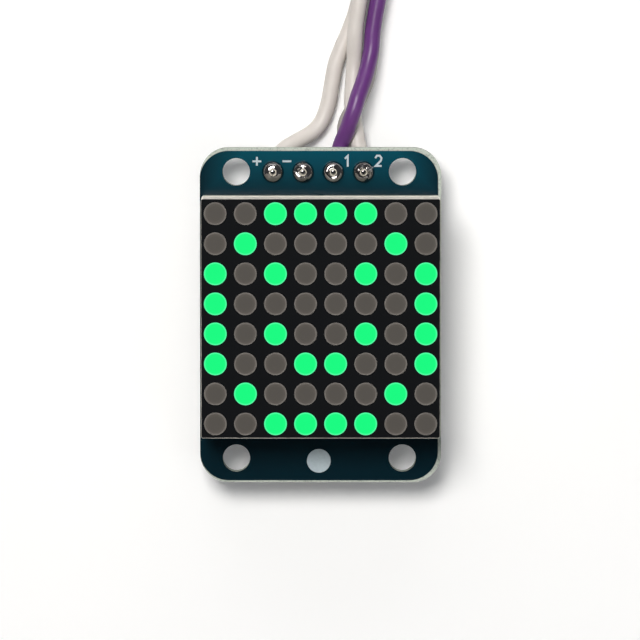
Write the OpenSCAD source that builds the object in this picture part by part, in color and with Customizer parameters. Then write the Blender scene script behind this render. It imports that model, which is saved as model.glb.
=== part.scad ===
// An 8 by 8 dot display on its driver board, with four soldered wires. Millimetres.
// The part lies on its back: the display faces +Z, and the wires leave towards +Y.

/* [Display module] */
// How far the module sits from the board's middle, towards the wire terminals
module_y = 0.1; // [-0.1:0.05:0.2]
// Distance from one dot to the next
dot_pitch = 2.5; // [2.4:0.01:2.6]
// Diameter of a dot on the face
dot_d = 1.9; // [1.6:0.05:2.1]
// Diameter of a dot's well at the bottom, by its light chip
well_base_d = 1.3; // [0.8:0.05:1.5]
// Height of the module from its rim to its face
module_h = 6.3; // [5.6:0.1:8]
// Depth of the wells
well_depth = 4; // [3:0.1:4.2]
// How far the lower skirt stands proud of the upper side walls
skirt_step = 0.05; // [0.02:0.01:0.15]
// Height of the lower skirt
skirt_h = 2; // [1:0.1:3]
// Thickness of the skirt's wall
skirt_wall = 0.8; // [0.5:0.05:1]
// Thickness of the inner board that carries the light chips
substrate_t = 0.8; // [0.6:0.1:1]
// How far the back resin stays below the rim
resin_recess = 0.2; // [0.1:0.05:0.4]
// Width of a light chip
led_w = 0.3; // [0.2:0.05:0.4]
// Height of a light chip
led_h = 0.2; // [0.1:0.05:0.3]
// Diameter of the half-round notch in the rim that marks the top side
notch_d = 0.7; // [0.4:0.1:1.2]

/* [Module pins] */
// Diameter of a pin
pin_d = 0.5; // [0.4:0.05:0.6]
// Distance from the end pins of a row to the module's side
pin_side = 1.11; // [1.05:0.01:1.3]
// Distance from a row of pins to the module's edge
pin_inset = 2.38; // [2.2:0.01:2.6]
// How far the pins reach below the board
pin_drop = 3; // [2.9:0.1:3.6]
// How far the pins go into the inner board
pin_root = 0.4; // [0.2:0.1:0.5]
// Diameter of a pin's hole in the board
pin_hole_d = 0.8; // [0.7:0.05:0.9]

/* [Circuit board] */
// Thickness of the board
board_t = 1.6; // [1:0.1:2]
// How far the board stands out past the module at each side
side_margin = 0.15; // [0:0.05:1]
// Width of the strips above and below the module
strip = 4.1; // [4:0.05:6]
// Radius of the board's corners
corner_r = 2.4; // [1:0.1:3]
// Distance from a mounting hole's middle to the board's side, with the pattern in the middle
mount_side = 3.165; // [2.9:0.005:3.4]
// Distance from a mounting hole's middle to the board's end
mount_end = 2.035; // [1.95:0.005:2.1]
// Diameter of the mounting holes
mount_d = 2.3; // [2:0.05:2.5]
// Sideways place of the hole pattern from the board's middle
pattern_x = -0.1; // [-0.2:0.05:0.2]
// Thickness of the copper lands
pad_t = 0.04; // [0.03:0.01:0.07]

/* [Wire terminals] */
// Distance between terminals
terminal_pitch = 2.54; // [2.4:0.01:2.6]
// Sideways place of the terminal row from the board's middle
terminal_x = -0.2; // [-0.3:0.05:0.3]
// Distance from the terminal row to the board's end
terminal_end = 2.05; // [1.9:0.05:2.3]
// Diameter of a terminal's hole
terminal_hole_d = 1; // [0.9:0.05:1.1]
// Diameter of a terminal's land
terminal_pad_d = 1.85; // [1.7:0.05:2]
// Height of the solder dome on the front
dome_h = 0.75; // [0.5:0.05:1]
// Height of the solder on the back
heel_h = 0.2; // [0.1:0.05:0.3]
// Diameter of a wire's bare core
core_d = 0.6; // [0.4:0.05:0.7]
// How far the core's tip stands out of its dome
core_tip = 0.12; // [0.05:0.01:0.3]
// Radius of the core's bend at its middle
core_bend = 0.45; // [0.4:0.05:0.5]

/* [Driver chip] */
// Length of the chip's body
chip_l = 17.9; // [17.6:0.1:18.2]
// Width of the chip's body
chip_w = 7.5; // [7.3:0.1:7.7]
// Thickness of the chip's body
chip_h = 2.35; // [2.1:0.05:2.4]
// Gap between the chip's body and the board
chip_gap = 0.2; // [0.1:0.05:0.3]
// Slope of the chip's sides, from the middle to an edge
chip_draft = 0.15; // [0.05:0.05:0.3]
// Distance over the tips of the leads
lead_span = 10.3; // [10:0.1:10.6]
// Distance between leads
lead_pitch = 1.27; // [1.2:0.01:1.27]
// Width of a lead
lead_w = 0.41; // [0.33:0.01:0.5]
// Thickness of a lead
lead_t = 0.25; // [0.2:0.01:0.3]
// Length of a lead's foot
foot_l = 0.8; // [0.6:0.05:0.9]
// Diameter of the dimple by the first lead
dimple_d = 1.2; // [0.8:0.1:1.6]

/* [Small parts] */
// Length of the large capacitor
big_cap_l = 2; // [1.8:0.1:2.2]
// Width of the large capacitor
big_cap_w = 1.25; // [1.1:0.05:1.3]
// Height of the large capacitor
big_cap_h = 1.2; // [0.8:0.05:1.3]
// Length of the small capacitor and the resistors
chip_part_l = 1.6; // [1.5:0.05:1.7]
// Width of the small capacitor and the resistors
chip_part_w = 0.8; // [0.7:0.05:0.9]
// Height of the small capacitor
small_cap_h = 0.8; // [0.6:0.05:0.9]
// Height of a resistor
resistor_h = 0.45; // [0.35:0.05:0.6]
// Length of an end cap
end_cap = 0.35; // [0.2:0.05:0.45]
// Length of the diode's body
diode_l = 1.7; // [1.6:0.05:1.8]
// Width of the diode's body
diode_w = 1.25; // [1.1:0.05:1.3]
// Height of the diode's body
diode_h = 0.9; // [0.7:0.05:1]

/* [Wires] */
// Diameter over a wire's insulation
wire_d = 1.35; // [1.2:0.01:1.35]
// Distance between turns and layers in the coil
lay = 1.4; // [1.4:0.01:1.45]
// Radius of the coil's inner turns at their middle
coil_r = 7.3; // [7:0.1:7.6]
// Thickness of the strip that ties the coil
tie_t = 0.15; // [0.1:0.05:0.2]
// Width of the strip that ties the coil
tie_w = 2.5; // [1.5:0.1:4]
// Length of the bare end of a wire
bare_l = 4; // [3:0.5:6]

/* [Hidden] */
DOTS = 8;
PINS = 8;
LEADS = 14;
FIT = 0.01; // radial room between pieces that are cast or pushed together
ROUND = 48;

module_w = DOTS * dot_pitch;
face_w = module_w - 2 * skirt_step;
board_w = module_w + 2 * side_margin;
board_l = module_w + 2 * strip;
pin_pitch = (module_w - 2 * pin_side) / (PINS - 1);
pin_rows = module_w - 2 * pin_inset;
mount_dx = board_w - 2 * mount_side;
mount_dy = board_l - 2 * mount_end;
terminal_y = board_l / 2 - terminal_end;
low_end = -board_l / 2;
board_z = pin_drop;
front_z = board_z + board_t;
face_z = front_z + module_h;
plate_z = face_z - well_depth;
substrate_z = plate_z - substrate_t;
land_z = board_z - pad_t;
cavity_w = module_w - 2 * skirt_wall;
chip_z = board_z - chip_gap - chip_h;

// Radii of the module's upright edges
skirt_corner = 0.25;
face_corner = 0.2;

// Lands and joints: room past a foot, a small part or a round joint, and heights of solder
foot_land_l = foot_l + 0.5;
foot_land_w = lead_w + 0.15;
part_land = 0.35;
part_land_side = 0.05;
land_rim = 0.02;
pin_land_d = 1.7;
pin_heel = 0.7;
fillet_h = 0.25;
fillet_dip = 0.1;
foot_toe = 0.2;
foot_heel_h = 0.08;

// The chip: where its dimple is from the corner, its bevel, and the bends of a lead
dimple_in = [1.6, 1.7];
dimple_depth = 0.15;
chip_bevel = 0.5;
knee_out = 0.35;
bend = 0.09;
sink = 0.07;

// The diode: its room over the lands, and the width and thickness of its ends
diode_gap = 0.05;
diode_end = 0.3;

// Places of the small parts, counted from the board's end or the terminal row
part_x = 2.7;
low_row_in = 1.5;
high_row_in = 3.8;
low_row = low_end + low_row_in;
high_row = low_end + high_row_in;
big_cap_at = [-part_x, high_row];
small_cap_at = [-part_x, low_row];
address_at = [part_x, low_row];
diode_at = [part_x, high_row];
pullup_x = 1.7;
pullup_in = 2.15;
pullup_y = terminal_y - pullup_in;
pullups_at = [[-pullup_x, pullup_y], [pullup_x, pullup_y]];
jumper_in = 1.4;
jumper_pitch = 1.5;
jumper_y = [for (i = [0:2]) low_end + jumper_in + i * jumper_pitch];
jumper_land = [0.6, 0.9];
jumper_gap = 0.3;

// The face that is lit, in dots from the display's middle
ring_from = 3.5;
ring_to = 3.85;
eye = 1.5;
mouth = 2;

// Where each wire's insulation runs, from its terminal to the coil. Each point is counted from the
// middle of the terminal row, and its height from the plane on which the part stands
plus_route = [
    [-3.6, 0.75, 2.2], [-3.3, 1.35, 2.1], [-2.75, 1.9, 1.9], [-2, 2.35, 1.6], [-1.25, 2.75, 1.3],
    [-0.6, 3.15, 1.05], [0, 3.7, 0.85], [0.4, 4.35, 0.75], [0.68, 5.05, 0.7], [0.9, 5.85, 0.7],
    [1.05, 6.65, 0.7], [1.2, 7.55, 0.7], [1.45, 8.85, 0.7], [1.95, 10.25, 0.7], [2.6, 11.75, 0.7],
    [3.15, 13.25, 0.7], [3.55, 14.75, 0.7], [3.85, 16.35, 0.7], [4.05, 18.15, 0.7], [4.2, 20.05, 0.75],
    [4.45, 22.15, 0.85]
];
minus_route = [
    [-0.55, 0.05, 1.9], [0.1, 0.1, 1.7], [0.8, 0.25, 1.4], [1.4, 0.6, 1.05], [1.85, 1.05, 0.85],
    [2.15, 1.65, 0.75], [2.25, 2.35, 0.7], [2.25, 3.05, 0.7], [2.3, 3.75, 0.7], [2.55, 4.45, 0.7],
    [2.95, 5.15, 0.7], [3.35, 5.85, 0.7], [3.7, 6.65, 0.7], [4.05, 7.55, 0.7], [4.3, 8.75, 0.7],
    [4.5, 10.25, 0.7], [4.6, 11.75, 0.7], [4.85, 13.35, 0.7], [5.15, 14.95, 0.7], [5.4, 16.65, 0.7],
    [5.6, 18.45, 0.7], [5.75, 20.35, 0.75], [5.85, 22.25, 0.8], [5.9, 23.95, 0.85]
];
data_route = [
    [1.6, 1.15, 2.3], [1.8, 1.85, 2.3], [2, 2.45, 2.4], [2.25, 3.05, 2.75], [2.48, 3.65, 3.1],
    [2.68, 4.25, 3.35], [2.9, 4.85, 3.45], [3.1, 5.45, 3.45], [3.3, 6.15, 3.35], [3.55, 6.85, 3.1],
    [3.8, 7.55, 2.85], [4.05, 8.35, 2.55], [4.3, 9.35, 2.25], [4.5, 10.45, 2.1], [4.6, 11.75, 2.1],
    [4.85, 13.35, 2.1], [5.15, 14.95, 2.1], [5.4, 16.65, 2.1], [5.6, 18.45, 2.1], [5.75, 20.35, 2.15],
    [5.85, 22.25, 2.2], [5.9, 23.95, 2.25]
];
clock_route = [
    [3.7, 0.75, 2.2], [3.55, 1.35, 2.15], [3.42, 1.95, 2.05], [3.3, 2.55, 1.9], [3.22, 3.15, 1.8],
    [3.1, 3.75, 1.85], [3.02, 4.25, 1.97], [2.92, 4.85, 2.07], [2.88, 5.45, 2.07], [2.86, 6.05, 1.97],
    [2.9, 6.85, 1.85], [2.96, 7.65, 1.65], [3.02, 8.55, 1.5], [3.06, 9.55, 1.55], [3.08, 10.55, 1.8],
    [3.12, 11.75, 2.05], [3.3, 13.25, 2.1], [3.55, 14.75, 2.1], [3.85, 16.35, 2.1], [4.05, 18.15, 2.1],
    [4.2, 20.05, 2.15], [4.45, 22.15, 2.25]
];

// The coil: its middle from that of the terminal row, and the turns in degrees that the inner and
// the outer wires make
coil_from_row = [-2.8, 28.95];
coil_at = [terminal_x + coil_from_row.x, terminal_y + coil_from_row.y];
inner_turns = 560;
outer_turns = 470;
climb_at = 280;
coil_low = tie_t;
tie_at = 60;

function terminal_at(i) = [terminal_x + (i - 1.5) * terminal_pitch, terminal_y];
function unit(v) = v / norm(v);
function flat(v) = [v.x, v.y, 0];
function from_row(points) = [for (p = points) p + [terminal_x, terminal_y, 0]];

// Which way a wire runs at one point of its route: in line with its core where it starts
function heading(route, at, i) =
    i == 0 ? unit(flat(route[0] - [at.x, at.y, 0]))
    : unit(route[min(i + 1, len(route) - 1)] - route[i - 1]);

// The points of a tube's ring around one point of its route
function ring(route, at, i, r, sides) =
    let (
        ahead = heading(route, at, i),
        across = unit(cross([0, 0, 1], ahead)),
        up = cross(ahead, across)
    )
    [for (k = [0:sides - 1])
        let (a = 360 * (k + 0.5) / sides)
        route[i] + r * (cos(a) * across + sin(a) * up)];

// The outline of a strip of even thickness that follows the given points
function strip_side(path, half) =
    [for (i = [0:len(path) - 1])
        let (
            into = unit(path[max(i, 1)] - path[max(i, 1) - 1]),
            out = unit(path[min(i + 1, len(path) - 1)] - path[min(i, len(path) - 2)]),
            normal = unit([-into.y - out.y, into.x + out.x])
        )
        path[i] + normal * half / (normal * [-into.y, into.x])];
function strip_outline(path, t) =
    let (back = strip_side(path, -t / 2))
    concat(strip_side(path, t / 2), [for (i = [len(back) - 1:-1:0]) back[i]]);

// The smiling face: a ring, two eyes and a mouth
function is_lit(x, y) =
    let (away = norm([x, y]))
    (away > ring_from && away < ring_to)
    || (abs(x) == eye && y == eye)
    || (abs(x) < mouth && y == abs(x) - mouth);

module at_mounts() {
    for (sx = [-1, 1], sy = [-1, 1])
        translate([pattern_x + sx * mount_dx / 2, sy * mount_dy / 2]) children();
}

module at_terminals() {
    for (i = [0:3]) translate(terminal_at(i)) children();
}

module at_pins() {
    for (i = [0:PINS - 1], side = [-1, 1])
        translate([(i - (PINS - 1) / 2) * pin_pitch, module_y + side * pin_rows / 2]) children();
}

module at_dots() {
    half = (DOTS - 1) / 2;
    for (x = [-half:half], y = [-half:half])
        translate([x * dot_pitch, module_y + y * dot_pitch, 0]) children();
}

module at_leads() {
    for (side = [0, 180], i = [0:LEADS - 1])
        rotate(side) translate([(i - (LEADS - 1) / 2) * lead_pitch, 0, 0]) children();
}

module rounded_plate(size, r, t) {
    linear_extrude(t) {
        square([size.x - 2 * r, size.y], center = true);
        square([size.x, size.y - 2 * r], center = true);
        for (sx = [-1, 1], sy = [-1, 1])
            translate([sx * (size.x / 2 - r), sy * (size.y / 2 - r)]) circle(r, $fn = ROUND);
    }
}

module hole(d, z, h) {
    translate([0, 0, z]) cylinder(d = d, h = h, $fn = ROUND);
}

module circuit_board() {
    over = 0.5;
    color("#0b3440") difference() {
        translate([0, 0, board_z]) rounded_plate([board_w, board_l], corner_r, board_t);
        at_mounts() hole(mount_d, board_z - over, board_t + 2 * over);
        at_terminals() hole(terminal_hole_d, board_z - over, board_t + 2 * over);
        at_pins() hole(pin_hole_d, board_z - over, board_t + 2 * over);
    }
}

module land_ring(d, bore, z) {
    translate([0, 0, z]) difference() {
        cylinder(d = d, h = pad_t, $fn = ROUND);
        translate([0, 0, -pad_t]) cylinder(d = bore, h = 3 * pad_t, $fn = ROUND);
    }
}

module front_pads() {
    color("#c9a24a") at_terminals() land_ring(terminal_pad_d, terminal_hole_d, front_z);
}

module land(size) {
    translate([-size.x / 2, -size.y / 2, land_z]) cube([size.x, size.y, pad_t]);
}

// The two lands of a small part that is l long and w wide
module part_lands(l, w) {
    reach = end_cap + part_land;
    for (side = [-1, 1])
        translate([side * (l / 2 - end_cap + reach / 2), 0]) land([reach, w + 2 * part_land_side]);
}

module back_pads() {
    color("#c9a24a") {
        at_terminals() land_ring(terminal_pad_d, terminal_hole_d, land_z);
        at_pins() land_ring(pin_land_d, pin_hole_d, land_z);
        at_leads() translate([0, lead_span / 2 - foot_l / 2]) land([foot_land_w, foot_land_l]);
        translate(big_cap_at) part_lands(big_cap_l, big_cap_w);
        translate(small_cap_at) part_lands(chip_part_l, chip_part_w);
        for (at = pullups_at) translate(at) part_lands(chip_part_l, chip_part_w);
        translate(address_at) part_lands(chip_part_l, chip_part_w);
        translate(diode_at) part_lands(diode_l + 2 * end_cap, 2 * diode_end);
        for (y = jumper_y, side = [-1, 1])
            translate([side * (jumper_land.x + jumper_gap) / 2, y]) land(jumper_land);
    }
}

module matrix_housing() {
    over = 0.5;
    color("#e9e6da") difference() {
        union() {
            translate([0, module_y, front_z]) rounded_plate([module_w, module_w], skirt_corner, skirt_h);
            translate([0, module_y, front_z]) rounded_plate([face_w, face_w], face_corner, module_h);
        }
        translate([-cavity_w / 2, module_y - cavity_w / 2, front_z - over])
            cube([cavity_w, cavity_w, plate_z - front_z + over]);
        at_dots() translate([0, 0, plate_z])
            cylinder(d1 = well_base_d, d2 = dot_d, h = well_depth, $fn = ROUND);
        translate([0, module_y + module_w / 2 - skirt_wall / 2, front_z]) rotate([90, 0, 0])
            cylinder(d = notch_d, h = skirt_wall + 2 * over, center = true, $fn = ROUND);
    }
}

// The resin of one well, cast around its light chip
module dot() {
    pocket = led_w + 2 * FIT;
    difference() {
        translate([0, 0, plate_z])
            cylinder(d1 = well_base_d - 2 * FIT, d2 = dot_d - 2 * FIT, h = well_depth, $fn = ROUND);
        translate([-pocket / 2, -pocket / 2, plate_z - FIT]) cube([pocket, pocket, led_h + 2 * FIT]);
    }
}

module dots_where(lit) {
    half = (DOTS - 1) / 2;
    for (x = [-half:half], y = [-half:half])
        if (is_lit(x, y) == lit) translate([x * dot_pitch, module_y + y * dot_pitch, 0]) dot();
}

module lit_dots() {
    color("#05fe87") dots_where(true);
}

module unlit_dots() {
    color("#645f5c") dots_where(false);
}

module led_chips() {
    color("#d8d27a") at_dots() translate([-led_w / 2, -led_w / 2, plate_z]) cube([led_w, led_w, led_h]);
}

module matrix_substrate() {
    w = cavity_w - 2 * FIT;
    color("#d9d4bd") difference() {
        translate([-w / 2, module_y - w / 2, substrate_z]) cube([w, w, substrate_t]);
        at_pins() hole(pin_d + 2 * FIT, substrate_z - pin_root, 2 * pin_root);
    }
}

module back_potting() {
    w = cavity_w - 2 * FIT;
    low = front_z + resin_recess;
    color("#e4e1d6") difference() {
        translate([-w / 2, module_y - w / 2, low]) cube([w, w, substrate_z - low]);
        at_pins() hole(pin_d + 2 * FIT, front_z, module_h);
    }
}

module matrix_pins() {
    color("#c8c8c4") at_pins() hole(pin_d, 0, substrate_z + pin_root);
}

// A solder cone on the back with its filling in the hole, around a pin
module pin_joint() {
    pin_r = pin_d / 2 + FIT;
    hole_r = pin_hole_d / 2 - FIT;
    foot_r = pin_land_d / 2 - land_rim;
    rise = [for (s = [0:0.25:1]) [pin_r + (foot_r - pin_r) * pow(1 - s, 2), land_z - pin_heel * s]];
    rotate_extrude($fn = ROUND)
        polygon(concat([[pin_r, front_z], [hole_r, front_z], [hole_r, land_z]], rise));
}

module pin_solder() {
    color("#b9bcbf") at_pins() pin_joint();
}

module driver_chip() {
    half = chip_w / 2;
    mid = chip_h / 2;
    band = lead_t / 2;
    over = 0.1;
    color("#1c1c1e") difference() {
        intersection() {
            translate([-chip_l / 2, 0, chip_z]) rotate([90, 0, 90]) linear_extrude(chip_l)
                polygon([
                    [-half + chip_draft, 0], [-half, mid - band], [-half, mid + band],
                    [-half + chip_draft, chip_h], [half - chip_draft, chip_h], [half, mid + band],
                    [half, mid - band], [half - chip_bevel, 0]
                ]);
            translate([0, chip_w, chip_z]) rotate([90, 0, 0]) linear_extrude(2 * chip_w)
                polygon([
                    [-chip_l / 2 + chip_draft, 0], [-chip_l / 2, mid], [-chip_l / 2 + chip_draft, chip_h],
                    [chip_l / 2 - chip_draft, chip_h], [chip_l / 2, mid], [chip_l / 2 - chip_draft, 0]
                ]);
        }
        translate([-chip_l / 2 + dimple_in.x, half - dimple_in.y])
            hole(dimple_d, chip_z - over, over + dimple_depth);
    }
}

// Side view of a lead, from the body's side to the tip of its foot: out, up and along the land
function lead_path() =
    let (
        exit = chip_z + chip_h / 2,
        foot = land_z - lead_t / 2,
        knee = chip_w / 2 + knee_out,
        heel = lead_span / 2 - foot_l
    )
    [[chip_w / 2, exit], [knee, exit], [knee + bend, exit + sink], [heel - bend, foot - sink],
     [heel, foot], [lead_span / 2, foot]];

module chip_leads() {
    color("#c8c8c4") at_leads()
        translate([-lead_w / 2, 0, 0]) rotate([90, 0, 90]) linear_extrude(lead_w)
            polygon(strip_outline(lead_path(), lead_t));
}

// The solder around one foot: a low mound on the land, less the foot
module foot_solder() {
    tip = lead_span / 2;
    heel = tip - foot_l;
    difference() {
        translate([-foot_land_w / 2, 0, 0]) rotate([90, 0, 90]) linear_extrude(foot_land_w)
            polygon([
                [heel - foot_toe, land_z], [heel - foot_toe / 2, land_z - foot_heel_h],
                [tip, land_z - foot_toe], [tip + foot_toe, land_z]
            ]);
        translate([-lead_w / 2 - FIT, heel - foot_l, land_z - lead_t])
            cube([lead_w + 2 * FIT, 2 * foot_l + FIT, 2 * lead_t]);
    }
}

module chip_solder() {
    color("#b9bcbf") at_leads() foot_solder();
}

// The part of a small component between its end caps
module part_body(l, w, h) {
    translate([-l / 2 + end_cap, -w / 2, land_z - h]) cube([l - 2 * end_cap, w, h]);
}

module part_ends(l, w, h) {
    for (side = [0, 180]) rotate(side)
        translate([l / 2 - end_cap, -w / 2, land_z - h]) cube([end_cap, w, h]);
}

module part_fillets(l, w) {
    for (side = [0, 180]) rotate(side)
        translate([l / 2, w / 2, land_z]) rotate([90, 0, 0]) linear_extrude(w)
            polygon([[0, 0], [part_land - land_rim, 0], [fillet_dip, -fillet_dip], [0, -fillet_h]]);
}

module large_capacitor() {
    color("#b58f66") translate(big_cap_at) part_body(big_cap_l, big_cap_w, big_cap_h);
}

module small_capacitor() {
    color("#b58f66") translate(small_cap_at) part_body(chip_part_l, chip_part_w, small_cap_h);
}

module pullup_resistors() {
    color("#1d1d1f") for (at = pullups_at) translate(at) part_body(chip_part_l, chip_part_w, resistor_h);
}

module address_resistor() {
    color("#1d1d1f") translate(address_at) part_body(chip_part_l, chip_part_w, resistor_h);
}

module diode() {
    color("#222224") translate([diode_at.x, diode_at.y, land_z - diode_gap - diode_h])
        translate([-diode_l / 2, -diode_w / 2, 0]) cube([diode_l, diode_w, diode_h]);
}

module end_caps() {
    color("#c8c8c4") {
        translate(big_cap_at) part_ends(big_cap_l, big_cap_w, big_cap_h);
        translate(small_cap_at) part_ends(chip_part_l, chip_part_w, small_cap_h);
        for (at = pullups_at) translate(at) part_ends(chip_part_l, chip_part_w, resistor_h);
        translate(address_at) part_ends(chip_part_l, chip_part_w, resistor_h);
        translate(diode_at) part_ends(diode_l + 2 * end_cap, diode_end, diode_end);
    }
}

module part_solder() {
    color("#b9bcbf") {
        translate(big_cap_at) part_fillets(big_cap_l, big_cap_w);
        translate(small_cap_at) part_fillets(chip_part_l, chip_part_w);
        for (at = pullups_at) translate(at) part_fillets(chip_part_l, chip_part_w);
        translate(address_at) part_fillets(chip_part_l, chip_part_w);
        translate(diode_at) part_fillets(diode_l + 2 * end_cap, diode_end);
    }
}

// A terminal's joint: a dome on the front, the filled hole and a low heel on the back
module terminal_joint() {
    core_r = core_d / 2 + FIT;
    hole_r = terminal_hole_d / 2 - FIT;
    foot_r = terminal_pad_d / 2 - land_rim;
    dome_z = front_z + pad_t;
    dome_end = acos(core_r / foot_r);
    dome = [for (i = [0:8]) let (a = dome_end * i / 8)
        [foot_r * cos(a), dome_z + dome_h * sin(a) / sin(dome_end)]];
    heel = [for (i = [0:4]) let (s = i / 4)
        [core_r + (foot_r - core_r) * s * s, land_z - heel_h * (1 - s)]];
    rotate_extrude($fn = ROUND) polygon(concat(
        heel, [[hole_r, land_z], [hole_r, dome_z]], dome
    ));
}

module terminal_solder() {
    color("#b9bcbf") at_terminals() terminal_joint();
}

// A bare core: down through its joint, round the bend and into the insulation at start
module core(at, start) {
    way = flat(start - [at.x, at.y, 0]);
    tip_z = front_z + pad_t + dome_h + core_tip;
    translate([at.x, at.y, 0]) rotate(atan2(way.y, way.x)) {
        translate([0, 0, start.z + core_bend])
            cylinder(d = core_d, h = tip_z - start.z - core_bend, $fn = ROUND);
        translate([core_bend, 0, start.z + core_bend]) rotate([90, 0, 0]) rotate(180)
            rotate_extrude(angle = 90, $fn = ROUND) translate([core_bend, 0]) circle(d = core_d, $fn = 24);
        translate([core_bend, 0, start.z]) rotate([0, 90, 0])
            cylinder(d = core_d, h = norm(way) - core_bend, $fn = ROUND);
    }
}

module wire_cores() {
    routes = [plus_route, minus_route, data_route, clock_route];
    color("#b87b4a") for (i = [0:3]) core(terminal_at(i), from_row(routes[i])[0]);
}

// A wire's insulation: one tube along its route, from the terminal at the given place
module wire(route, at) {
    sides = 8;
    path = from_row(route);
    n = len(path);
    points = [for (i = [0:n - 1]) each ring(path, at, i, wire_d / 2, sides)];
    walls = [for (i = [0:n - 2], k = [0:sides - 1])
        let (a = i * sides + k, b = i * sides + (k + 1) % sides)
        [a, a + sides, b + sides, b]];
    start = [for (k = [0:sides - 1]) k];
    end = [for (k = [sides - 1:-1:0]) (n - 1) * sides + k];
    polyhedron(points, concat([start, end], walls), convexity = 10);
}

module wire_plus() {
    color("#e6e0da") wire(plus_route, terminal_at(0));
}

module wire_minus() {
    color("#b8b4b0") wire(minus_route, terminal_at(1));
}

module wire_data() {
    color("#684075") wire(data_route, terminal_at(2));
}

module wire_clock() {
    color("#e6e0da") wire(clock_route, terminal_at(3));
}

// A stretch of the coil's outer shape, from one angle to another
module coil_part(from, to, r0, r1, z0, z1) {
    translate([coil_at.x, coil_at.y, 0]) rotate(from)
        rotate_extrude(angle = to - from, $fn = 96) translate([r0, z0]) square([r1 - r0, z1 - z0]);
}

// Two turns on each other, less the stretch that the second turn doesn't reach
module wire_coil() {
    r0 = coil_r - wire_d / 2;
    r1 = coil_r + lay + wire_d / 2;
    inner_r1 = coil_r + wire_d / 2;
    mid_z = coil_low + lay + wire_d;
    top_z = mid_z + 2 * lay;
    over = 0.5;
    color("#d8d2cc") difference() {
        coil_part(0, 360, r0, r1, coil_low, top_z);
        coil_part(inner_turns - 360, climb_at, r0 - over, r1 + over, mid_z, top_z + over);
        coil_part(outer_turns - 360, climb_at, inner_r1, r1 + over, mid_z, top_z + over);
    }
}

module coil_tie() {
    r0 = coil_r - wire_d / 2 - FIT;
    r1 = coil_r + lay + wire_d / 2 + FIT;
    z0 = coil_low - FIT;
    z1 = coil_low + 3 * lay + wire_d + FIT;
    angle = tie_w / (coil_r + lay / 2) * 180 / PI;
    color("#2b2b2d") translate([coil_at.x, coil_at.y, 0]) rotate(tie_at - angle / 2)
        rotate_extrude(angle = angle, $fn = 96) difference() {
            translate([r0 - tie_t, 0]) square([r1 - r0 + 2 * tie_t, z1 + tie_t]);
            translate([r0, z0]) square([r1 - r0, z1 - z0]);
        }
}

// The bare end of a wire, straight on from where its turns stop
module bare_end(turns, r, z) {
    translate([coil_at.x, coil_at.y, z]) rotate(turns) translate([r, 0, 0]) rotate([-90, 0, 0])
        cylinder(d = core_d, h = bare_l, $fn = ROUND);
}

module end_plus() {
    color("#b87b4a") bare_end(inner_turns, coil_r, coil_low + 2 * lay + wire_d / 2);
}

module end_minus() {
    color("#b87b4a") bare_end(outer_turns, coil_r + lay, coil_low + 2 * lay + wire_d / 2);
}

module end_data() {
    color("#b87b4a") bare_end(outer_turns, coil_r + lay, coil_low + 3 * lay + wire_d / 2);
}

module end_clock() {
    color("#b87b4a") bare_end(inner_turns, coil_r, coil_low + 3 * lay + wire_d / 2);
}

circuit_board();
front_pads();
back_pads();
matrix_housing();
lit_dots();
unlit_dots();
led_chips();
matrix_substrate();
back_potting();
matrix_pins();
pin_solder();
driver_chip();
chip_leads();
chip_solder();
large_capacitor();
small_capacitor();
pullup_resistors();
address_resistor();
diode();
end_caps();
part_solder();
terminal_solder();
wire_cores();
wire_plus();
wire_minus();
wire_data();
wire_clock();
wire_coil();
coil_tie();
end_plus();
end_minus();
end_data();
end_clock();
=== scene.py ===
import math

import bmesh
import bpy
from mathutils import Matrix, Vector, noise


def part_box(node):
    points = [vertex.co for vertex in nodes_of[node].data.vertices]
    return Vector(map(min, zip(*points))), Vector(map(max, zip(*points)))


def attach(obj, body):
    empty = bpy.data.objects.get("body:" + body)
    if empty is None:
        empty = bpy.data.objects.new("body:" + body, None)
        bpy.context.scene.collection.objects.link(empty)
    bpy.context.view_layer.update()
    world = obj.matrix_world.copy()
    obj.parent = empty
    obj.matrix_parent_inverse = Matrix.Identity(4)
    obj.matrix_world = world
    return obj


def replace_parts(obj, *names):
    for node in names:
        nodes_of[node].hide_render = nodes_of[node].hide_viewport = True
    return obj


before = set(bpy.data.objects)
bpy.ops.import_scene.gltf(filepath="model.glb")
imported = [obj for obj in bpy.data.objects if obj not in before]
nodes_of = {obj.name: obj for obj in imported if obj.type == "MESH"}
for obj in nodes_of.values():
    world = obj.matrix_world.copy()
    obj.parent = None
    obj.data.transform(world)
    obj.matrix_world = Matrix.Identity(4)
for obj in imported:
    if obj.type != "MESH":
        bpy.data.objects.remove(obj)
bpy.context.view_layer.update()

# --- Camera, table and light -------------------------------------------------
# The display lies on its pins on a white table, with the camera almost straight above it, far off
# and with a long lens. One small lamp hangs nearly overhead, and two faint ones fill from the side
# and from low down beyond the terminals.

MM = 0.001
board_low, board_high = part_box("circuit_board")
board_top = board_high.z

FOCAL_LENGTH = 333
SENSOR_WIDTH = 36
CAMERA_X = -0.05 * MM
CAMERA_Y = 32.64 * MM
CAMERA_HEIGHT = 497 * MM
CAMERA_TILT = 0.0664
camera_data = bpy.data.cameras.new("camera")
camera_data.lens = FOCAL_LENGTH
camera_data.sensor_width = SENSOR_WIDTH
camera_data.clip_start = 0.01
camera_data.clip_end = 10
camera = bpy.data.objects.new("camera", camera_data)
camera.location = (CAMERA_X, CAMERA_Y, board_top + CAMERA_HEIGHT)
camera.rotation_euler = (-CAMERA_TILT, 0, 0)
bpy.context.scene.collection.objects.link(camera)
bpy.context.scene.camera = camera
bpy.context.scene.view_settings.view_transform = "Standard"


def linear(code):
    """A colour code such as "#0b4050" as linear red, green, blue and alpha."""
    parts = [int(code[i : i + 2], 16) / 255 for i in (1, 3, 5)]
    return [c / 12.92 if c <= 0.04045 else ((c + 0.055) / 1.055) ** 2.4 for c in parts] + [1]


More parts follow.
